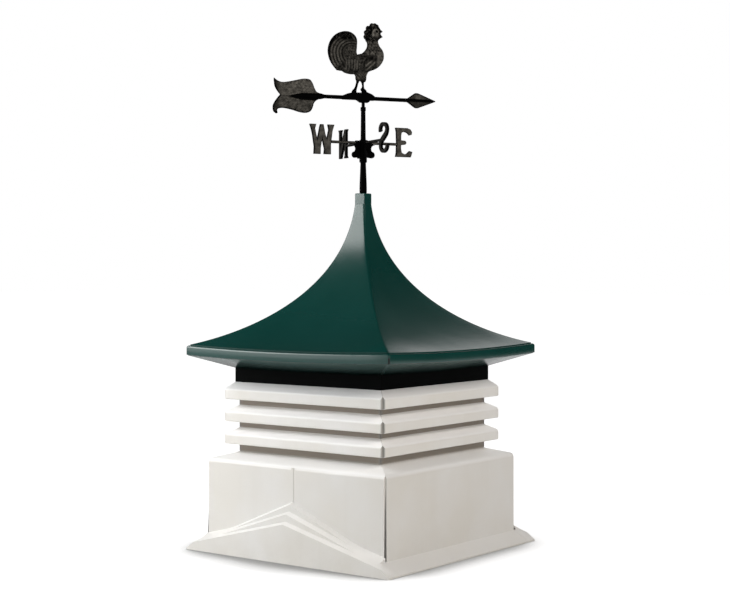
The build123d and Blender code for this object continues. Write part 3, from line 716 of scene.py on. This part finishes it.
# Outlines in millimetres: along the vane from its axis, and up from the arrow.
TAIL_LINE = outline(
    [(-134, 9.5), (-140, 12.5), (-145, 21), (-150, 33), (-157, 43.3), (-166, 46.3), (-180, 45.8), (-200, 41.3),
     (-223, 36.3), (-240, 34.3), (-253.5, 38.3), (-263, 45.3)],
    [(-263, 45.3), (-261, 24), (-253, 9.5), (-244.6, 0.3)],
    [(-244.6, 0.3), (-254.5, -11.2), (-264, -25.7), (-266.3, -36), (-264, -46.5), (-256, -52.5)],
    [(-256, -52.5), (-252.5, -50), (-254, -43.5), (-250, -38.7), (-238, -36.7), (-223, -38.2), (-206, -41.7),
     (-189, -46.2), (-172, -47.7), (-158.5, -43.7), (-151, -33), (-147, -20), (-140, -12.5), (-134, -9.5)],
    [(-134, -9.5), (-134, 9.5)])
HEAD_LINE = [(136, 6.5), (157, 20.5), (160, 21.5), (167, 21.2), (221, 1.2), (221, -1.2), (167, -21.2),
             (160, -21.5), (157, -20.5), (136, -6.5)]


def edge_distance(points):
    """A function that gives how far a place lies from a closed line."""
    pairs = [(Vector(a), Vector(b)) for a, b in zip(points, points[1:] + points[:1])]

    def measure(u, v):
        here = Vector((u, v))
        best = 1e9
        for a, b in pairs:
            run = b - a
            t = min(max((here - a).dot(run) / max(run.length_squared, 1e-9), 0.0), 1.0)
            best = min(best, (a + run * t - here).length_squared)
        return math.sqrt(best)
    return measure


def spot(u, h, across, up, radius):
    """1 in the middle of a round patch, falling to 0 outside it."""
    return math.exp(-((u - across) ** 2 + (h - up) ** 2) / radius ** 2)


def tail_relief():
    """Feathered flights: raised dark rim with nicks, barbs slanting to the back, and a dark band with painted
    shadow under the spine.
    """
    distance = edge_distance(TAIL_LINE)

    def relief(u, z):
        v = z - ROD_Z
        edge = distance(u, v)
        rim = 1 - ease(2.0, 4.4, edge)
        barbs = abs(math.sin((u + abs(v) * 1.15) * 0.42))
        fleck = noise.noise(Vector((u * 0.16, v * 0.22, 1.7)))
        # the dark band along the spine reaches further below it than above: painted shadow under the spine
        wide = 9.6 * min(1.0, max(0.0, (u + 220) / 38)) ** 0.7
        spine = 1 - ease(wide - 1.0, wide + 1.5, abs(v + 3.1))
        dots = max(math.exp(-((u - dot) ** 2 + (edge - 4.0) ** 2) / 2.6)
                   for dot in (-213.7, -200.9, -181.9, -168.0))
        height = 0.9 * rim - 0.45 * (1 - rim) * (1 - spine) + 0.35 * barbs * (1 - rim) - 0.8 * dots
        shade = rim * (1.0 if v < 0 or u < -250 else 0.35)
        tone = (1 - shade) * (1 - spine) * (0.40 + 0.16 * barbs + 0.4 * fleck) * (1.0 if v > 0 else 0.72)
        return height, max(0.0, min(1.0, tone)) * (0.35 + 0.65 * ease(-258, -240, u)) * (1 - 0.9 * dots)
    return relief


def head_relief():
    """Raised rim, and a painted highlight in a small patch over the spine."""
    distance = edge_distance(HEAD_LINE)

    def relief(u, z):
        v = z - ROD_Z
        edge = distance(u, v)
        rim = 1 - ease(2.2, 4.0, edge)
        spine = 1 - ease(3.0, 5.5, abs(v))
        # the bright spot over the spine is a painted highlight
        return 0.7 * rim, (1 - rim) * (1 - spine) * (0.16 + 0.34 * spot(u, v, 170, 9, 13))
    return relief


class CUPOLA_OT_arrow(bpy.types.Operator):
    """Makes the arrow: saddle, rods, head and feathered tail"""
    bl_idname = "cupola.arrow"
    bl_label = "Arrow"

    def execute(self, context):
        settings = context.scene.cupola
        round_node("vane_saddle", "vane_hub", vane_black(), "vane", settings.casting_edge)

        for name, node, stations in (
                ("rod_front", "arrow_rod_front", [(33, 5.6), (60, 5.5), (110, 5.4), (140, 5.6)]),
                ("rod_rear", "arrow_rod_rear", [(-135, 5.6), (-110, 5.4), (-85, 5.5), (-61.5, 5.6)])):
            bm = bmesh.new()
            spindle(bm, stations, ROD_Z)
            turn_vane(bm)
            finish_piece(name, bm, vane_black(), "vane", [node])

        for name, node, line, thick, ridge, relief in (
                ("head", "arrow_head", HEAD_LINE, 5.0,
                 [(134, 6.2), (142, 7.6), (150, 6.6), (190, 4.2), (214, 2.4)], head_relief()),
                ("tail", "arrow_tail", TAIL_LINE, 4.4,
                 [(-238, 0.8), (-215, 3.4), (-190, 5.6), (-165, 7.4), (-148, 8.4), (-134, 9.2), (-126, 8.0),
                  (-118, 6.2)], tail_relief())):
            bm = bmesh.new()
            spindle(bm, ridge, ROD_Z)
            plate(bm, line, thick, ROD_Z)
            bm = recast(bm, settings.voxel * 1.05, 1)
            carve(bm, relief, settings.relief)
            turn_vane(bm)
            finish_piece(name, bm, vane_black(), "vane", [node], smooth=180.0)
        return {"FINISHED"}


# Outlines of the rooster in millimetres: along the vane from its axis, and up from the perch.
FAN_LINE = outline(
    [(-79, 57), (-93.5, 74), (-102, 91), (-105.4, 110), (-102, 129), (-93.5, 145), (-80, 158), (-63, 165.2),
     (-46, 166.3), (-32, 161.5), (-23, 153), (-19, 142), (-19.5, 124), (-20.5, 110), (-18, 101)],
    [(-18, 101), (-30, 76), (-56, 57), (-79, 57)])
BODY_LINE = outline(
    [(-20, 98), (-14, 100), (-4, 107), (6, 116), (12, 126), (12.6, 137), (8.5, 143.5), (5, 151), (5, 162),
     (9.5, 174.5), (18, 185), (27, 190), (37, 190), (44.5, 186), (49.5, 179), (51.5, 176)],
    [(51.5, 176), (58.5, 171)], [(58.5, 171), (52.4, 167.2)], [(52.4, 167.2), (51, 163.4)],
    [(51, 163.4), (58, 156)],
    [(58, 156), (49.5, 150.5), (44, 145), (45, 137), (49.5, 128), (56.5, 120), (61, 109), (60.5, 93),
     (51, 77), (37, 65.5), (16, 57), (9.5, 50.6), (-10, 46), (-26, 48), (-37, 47.8), (-49, 49.5), (-59, 53),
     (-64.5, 58)],
    [(-64.5, 58), (-50, 80), (-20, 98)])
LEG_LINE = outline(
    [(-28, 54), (-24.5, 46), (-21, 38), (-20.8, 26), (-25, 12), (-31, 4.5), (-34.5, -1), (-32, -6)],
    [(-32, -6), (-19, -6)],
    [(-19, -6), (-21, 2), (-18.5, 12), (-15.3, 23), (-11, 30), (-6, 27.5), (-3, 19), (-3.6, 12)],
    [(-3.6, 12), (-7.5, 8.5), (-6.5, 3.5), (-4, 1), (-8, -6)],
    [(-8, -6), (13, -6)],
    [(13, -6), (10.5, 0), (4.5, 6), (1.9, 14), (1.7, 26), (5, 36), (9.6, 46), (14, 56)],
    [(14, 56), (-28, 54)])


def scales(u, v, size):
    """Overlapping feather scales that hang down: 1 on each crown, 0 in the gaps."""
    row = math.floor(v / size)
    across = (u / size + 0.5 * (row % 2)) % 1.0 - 0.5
    along = v / size - row
    return max(0.0, 1.0 - (across / 0.52) ** 2 - (along - 0.35) ** 2 * 1.3)


def rooster_relief(u, z):
    """Height in millimetres and tone of the cast plumage."""
    h = z - PERCH_Z
    fleck = noise.noise(Vector((u * 0.17, h * 0.17, 4.1)))
    fine = noise.noise(Vector((u * 0.55, h * 0.55, 9.3)))
    height, tone = 0.12 * fine, 0.12 + 0.24 * max(-0.4, fleck + 0.4 * fine)

    # sickle feathers of the tail, nested round a point near its front edge
    du, dv = u + 34.0, h - 107.0
    radius = math.hypot(du, dv * (1.22 if dv > 0 else 0.98))
    turn = math.atan2(dv, -du)
    fan = ease(20, 26, radius) * (1 - ease(-26, -14, u - max(0.0, h - 120) * 0.6))
    fan *= ease(-2, 4, (-50 - u) * 0.45 + h - 82)
    step = (71.5 - radius) / 8.8
    quill = abs(math.cos(math.pi * step)) ** 1.5 * ease(0.4, 0.8, step)
    barbs = 0.5 + 0.5 * math.sin(turn * 46 + step * 7)
    outer = 1 - ease(3.2, 5.0, step)
    side = 1 - 0.55 * ease(124, 150, h)
    height += fan * (1.7 * quill - 0.9 + 0.16 * barbs) * (0.55 + 0.45 * outer)
    tone = tone * (1 - fan) + fan * quill * (0.40 + 0.16 * barbs + 0.24 * fleck) * (0.5 + 0.5 * outer) * side
    tone += 0.5 * spot(u, h, -28.8, 154.2, 3.5)

    # small scales in the hollow of the tail
    heart = (1 - ease(20, 27, radius)) * (1 - ease(-24, -16, u))
    crown = scales(u * 0.9 + h * 0.3, h, 7.5)
    height += heart * (0.9 * crown - 0.4)
    tone += heart * (0.3 * crown - 0.08)

    # saddle feathers hanging over the rump
    rump = within(u, -55, -16, 4) * within(h, 60, 86, 6)
    strand = abs(math.cos((u + 31.1 + 1.5 * fleck) * math.pi / 7.5)) ** 1.5
    height += rump * (1.3 * strand - 0.7)
    tone += rump * (0.5 * strand - 0.12)

    # wing bow: ridges that sweep down and back, a dark hollow above them between bright feather ends
    sweep = (u - 23) * 0.66 - (h - 76.3) * 0.75
    wing = within(u, 0, 32, 4) * within(h, 60, 87, 4)
    ridge = math.exp(-(sweep / 2.2) ** 2) + math.exp(-((sweep + 9.9) / 2.2) ** 2)
    hollow = spot(u, h, 18.4, 93.4, 9)
    tips = spot(u, h, 11.5, 107.2, 3.8) + spot(u, h, 23, 107.2, 3.8)
    groove = math.exp(-((u - 31 - (h - 78.5) * 0.11) / 1.8) ** 2) * within(h, 76, 101, 3)
    height += wing * 1.5 * ridge - 1.8 * hollow + 0.8 * tips - 0.9 * groove
    tone = (tone + wing * 0.6 * ridge + 0.55 * tips) * (1 - 0.9 * hollow) * (1 - 0.85 * groove)

    # breast: lighter with a painted highlight, and slanting strands
    breast = ease(33, 38, u) * within(h, 72, 112, 6)
    strand = abs(math.sin((u * 0.9 - h * 0.25) * 0.62))
    tone += breast * (0.2 + 0.18 * strand)
    height += breast * 0.4 * strand

    # hackles on the neck
    hackle = within(h, 100, 150, 6) * within(u, 4, 56, 4) * (1 - breast * 0.7)
    lace = scales(u + 0.18 * h, h, 8.4)
    height += hackle * (1.2 * lace - 0.5)
    tone += hackle * (0.38 * lace - 0.1)
    tone += 0.6 * spot(u, h, 42.6, 137, 3.2) + 0.35 * (spot(u, h, 31, 128, 3) + spot(u, h, 23.6, 124.8, 3))

    # face with a dark eye, a pale crescent behind it and a dark beak
    face = 1 - ease(15, 18, math.hypot(u - 37, (h - 163) * 0.9))
    eye = math.hypot(u - 38, h - 169.6)
    reach = math.hypot(u - 39.1, h - 163.8)
    turn = math.degrees(math.atan2(h - 163.8, u - 39.1)) % 360
    crescent = math.exp(-((reach - 12.3) / (1.7 + 0.008 * (turn - 95))) ** 2) * within(turn, 97, 214, 8)
    ring = math.exp(-((eye - 5.5) / 1.2) ** 2)
    cheek = spot(u, h, 36.8, 160.5, 5.5)
    height += face * (1.4 * crescent + 0.7 * ring + 0.5 * cheek - 0.4) + 0.9 * math.exp(-(eye / 2.4) ** 2)
    tone = tone * (1 - face) + face * (0.06 + 1.8 * crescent + 0.7 * ring + 0.6 * cheek)
    tone *= ease(2.4, 4.0, eye) * (1 - 0.8 * ease(47, 52, u) * ease(150, 156, h))

    # comb: thin and knobbly
    comb = ease(14.5, 16.5, math.hypot(u - 38.5, h - 163.5)) * ease(140, 146, h) * (1 - ease(44, 48, u))
    knob = noise.noise(Vector((u * 0.3, h * 0.3, 7.7)))
    height += comb * (1.8 * knob - 0.4)
    tone = tone * (1 - comb) + comb * (max(0.0, 0.6 * knob - 0.04) + 0.6 * spot(u, h, 26.5, 186, 3.2))

    # thighs
    thigh = within(u, -22, 10, 3) * within(h, 34, 54, 4)
    plume = abs(math.sin((u * 0.8 + h) * 0.42))
    height += thigh * (1.0 * plume - 0.4)
    tone += thigh * 0.25 * plume
    leg = 1 - ease(27, 36, h)
    return height * (1 - leg * 0.8), max(0.0, min(1.0, tone)) * (1 - leg)


class CUPOLA_OT_rooster(bpy.types.Operator):
    """Casts the rooster in one piece and carves its plumage"""
    bl_idname = "cupola.rooster"
    bl_label = "Rooster"

    def execute(self, context):
        settings = context.scene.cupola
        bm = bmesh.new()
        for line, thick in ((FAN_LINE, 7.0), (BODY_LINE, 9.0), (LEG_LINE, 7.0)):
            plate(bm, line, thick, PERCH_Z)
        for u, h, long, short, deep, tilt in (
                (-2, 80, 54, 27, 17.5, 14), (30, 92, 28, 26, 16.5, 50),  # body and breast
                (34, 122, 28, 14, 11.5, 97), (33, 164, 17, 17, 9.5, 0),  # neck and head
                (-45, 74, 26, 20, 9.5, 40), (-60, 110, 34, 44, 6.5, 0),  # rump and fan
                (-7, 50, 18, 12, 9.5, 0), (-18, 40, 5.5, 12, 5.6, 0), (4, 40, 5.5, 13, 5.6, 0),  # thighs
                (-27, 3, 8, 4.2, 6.0, 30), (3, 4, 8, 4.6, 6.0, -30)):  # feet
            bulb(bm, u, h, long, short, deep, tilt, PERCH_Z)
        # knobs of the comb, from the brow to the nape
        for u, h, knob in ((42, 186.7, 4), (34.5, 187.6, 6.4), (25.9, 187.0, 6.6), (14.8, 178.5, 7.2),
                           (9.0, 166.4, 7.0), (8.0, 154.2, 7.2), (11.5, 144.6, 4.4)):
            bulb(bm, u, h, knob, knob, 4.8, 0, PERCH_Z)
        bm = recast(bm, settings.voxel, 4)
        carve(bm, rooster_relief, settings.relief)
        turn_vane(bm)
        finish_piece("rooster", bm, vane_black(), "vane",
                     ["rooster_body", "rooster_tail", "rooster_legs"], smooth=180.0)
        return {"FINISHED"}


# ---- stage

CAMERA_TURN = 37.525                          # degrees from the front
CAMERA_FAR, CAMERA_HIGH = 4.225, 0.7629       # metres from the axis, and above the floor
# Dark boards that only gloss mirrors: name, side of the square, place and target in metres.
FLAGS = (("flag_above", 7.0, (0.0, 0.0, 2.45), (0.0, 0.0, 0.0)),
         ("flag_back_left", 2.6, (-2.9, 1.95, 1.3), (0.0, 0.0, 0.9)),
         ("flag_back_right", 3.2, (1.9, 2.8, 1.5), (0.0, 0.0, 0.9)))
# Square lamps: name, place and target in metres, side, power in watts, colour.
LAMPS = (("key", (-1.65, -1.3, 1.42), (-0.1, -0.2, 0.45), 1.2, 40.0, (1.0, 0.995, 0.985)),
         ("front_left", (-1.3, -2.4, 2.2), (0.0, 0.0, 0.4), 1.4, 13.0, (1.0, 1.0, 1.0)),
         ("right", (2.7, -0.3, 2.2), (0.0, 0.0, 0.4), 1.4, 45.0, (1.0, 0.94, 0.88)),
         ("sheen_left", (-1.9, -2.3, 1.0), (0.0, 0.0, 0.6), 1.4, 13.0, (1.0, 1.0, 1.0)),
         ("back", (-2.2, 2.4, 1.8), (0.0, 0.0, 0.4), 1.8, 36.0, (1.0, 1.0, 1.0)))
GLOSS_ONLY = ("sheen_left",)                  # lights nothing but gloss
NO_GLOSS = ("right", "back", "front_left")    # isn't mirrored


def aim(place, target):
    """The turn that points -Z from a place to a target."""
    return (Vector(target) - Vector(place)).to_track_quat("-Z", "Y")


def put_board(name, size, material, matrix=None, cells=1):
    """A square board of the stage."""
    bm = bmesh.new()
    bmesh.ops.create_grid(bm, x_segments=cells, y_segments=cells, size=size / 2)
    if matrix:
        bmesh.ops.transform(bm, verts=bm.verts, matrix=matrix)
    mesh = bpy.data.meshes.new(name)
    bm.to_mesh(mesh)
    bm.free()
    mesh.materials.append(material)
    board = bpy.data.objects.new(name, mesh)
    bpy.context.scene.collection.objects.link(board)
    return board


def floor_white():
    """A pale floor that looks white, with a painted soft shadow near the cupola."""
    material = bpy.data.materials.new("Floor White")
    tree = empty_tree(material)
    plain = add(tree, "ShaderNodeBsdfDiffuse", Color=(0.78, 0.78, 0.77, 1.0)).outputs[0]
    # painted shadow: the floor's glow dims where the cupola stands close above it
    near = add(tree, "ShaderNodeAmbientOcclusion", {"samples": 12}, Distance=0.15).outputs["AO"]
    place = add(tree, "ShaderNodeTexCoord").outputs["Object"]
    far = add(tree, "ShaderNodeVectorMath", {"operation": "LENGTH"}, i0=place).outputs["Value"]
    # the shadow is a little heavier on the left, away from the strong lamp
    beside = add(tree, "ShaderNodeVectorMath", {"operation": "DOT_PRODUCT"}, i0=place,
                 i1=(0.79, 0.61, 0.0)).outputs["Value"]
    near = maths(tree, "ADD", near, span(tree, beside, -0.25, 0.25, -0.03, 0.03))
    strength = times(tree, span(tree, near, 0.66, 0.97, 0.02, 1.0), span(tree, far, 0.7, 1.8, 0.89, 1.0))
    glow = add(tree, "ShaderNodeEmission", Color=(1.0, 1.0, 1.0, 1.0), Strength=strength).outputs[0]
    faint = add(tree, "ShaderNodeBsdfDiffuse", Color=(0.3, 0.3, 0.3, 1.0)).outputs[0]
    lit = add(tree, "ShaderNodeAddShader", i0=faint, i1=glow).outputs[0]
    shown = add(tree, "ShaderNodeMixShader", i0=seen_rays(tree), i1=plain, i2=lit).outputs[0]
    add(tree, "ShaderNodeOutputMaterial", Surface=shown)
    return material


def set_world(scene):
    """White where it is seen, dim as a light."""
    scene.world = bpy.data.worlds.new("Studio")
    tree = empty_tree(scene.world)
    strength = maths(tree, "ADD", times(tree, seen_rays(tree), 0.8), 0.2)
    back = add(tree, "ShaderNodeBackground", Color=(1.0, 1.0, 1.0, 1.0), Strength=strength).outputs[0]
    add(tree, "ShaderNodeOutputWorld", Surface=back)


class CUPOLA_OT_stage(bpy.types.Operator):
    """Sets the floor, lamps, world and camera"""
    bl_idname = "cupola.stage"
    bl_label = "Stage"

    def execute(self, context):
        scene = context.scene
        scene.view_settings.view_transform = "Standard"
        put_board("floor", 80.0, floor_white(), cells=8)
        set_world(scene)

        dark = bpy.data.materials.new("Flag Black")
        dark.use_nodes = True
        dark.node_tree.nodes["Principled BSDF"].inputs["Base Color"].default_value = (0.02, 0.02, 0.02, 1.0)
        for name, size, place, target in FLAGS:
            matrix = Matrix.Translation(place) @ aim(place, target).to_matrix().to_4x4()
            board = put_board(name, size, dark, matrix)
            board.visible_camera = board.visible_diffuse = board.visible_shadow = False

        for name, place, target, size, power, colour in LAMPS:
            lamp = bpy.data.lights.new(name, "AREA")
            lamp.shape, lamp.size, lamp.energy, lamp.color = "SQUARE", size, power, colour
            holder = bpy.data.objects.new(name, lamp)
            holder.location = place
            holder.rotation_euler = aim(place, target).to_euler()
            holder.visible_diffuse = name not in GLOSS_ONLY
            holder.visible_glossy = name not in NO_GLOSS
            scene.collection.objects.link(holder)

        turn = math.radians(CAMERA_TURN)
        camera = bpy.data.cameras.new("camera")
        camera.sensor_width, camera.lens = 36.0, 74.8
        camera.shift_x, camera.shift_y = 0.0025, -0.0399
        holder = bpy.data.objects.new("camera", camera)
        holder.location = (CAMERA_FAR * math.sin(turn), -CAMERA_FAR * math.cos(turn), CAMERA_HIGH)
        holder.rotation_euler = (math.pi / 2, 0.0, turn)
        scene.collection.objects.link(holder)
        scene.camera = holder
        return {"FINISHED"}


STEPS = (CUPOLA_OT_stage, CUPOLA_OT_base_panels, CUPOLA_OT_louvres, CUPOLA_OT_neck, CUPOLA_OT_roof,
         CUPOLA_OT_post, CUPOLA_OT_compass, CUPOLA_OT_arrow, CUPOLA_OT_rooster)


class CUPOLA_PT_panel(bpy.types.Panel):
    """Lists the sizes and the steps"""
    bl_idname = "CUPOLA_PT_panel"
    bl_label = "Barn Cupola"
    bl_space_type = "VIEW_3D"
    bl_region_type = "UI"
    bl_category = "Cupola"

    def draw(self, context):
        for key in CupolaSettings.__annotations__:
            self.layout.prop(context.scene.cupola, key)
        for step in STEPS:
            self.layout.operator(step.bl_idname)


def register():
    bpy.utils.register_class(CupolaSettings)
    bpy.types.Scene.cupola = bpy.props.PointerProperty(type=CupolaSettings)
    for step in STEPS:
        bpy.utils.register_class(step)
    bpy.utils.register_class(CUPOLA_PT_panel)


def unregister():
    bpy.utils.unregister_class(CUPOLA_PT_panel)
    for step in reversed(STEPS):
        bpy.utils.unregister_class(step)
    del bpy.types.Scene.cupola
    bpy.utils.unregister_class(CupolaSettings)


def main():
    """Builds every piece in order."""
    register()
    for step in STEPS:
        area, name = step.bl_idname.split(".")
        getattr(getattr(bpy.ops, area), name)()


if __name__ == "__main__":
    main()
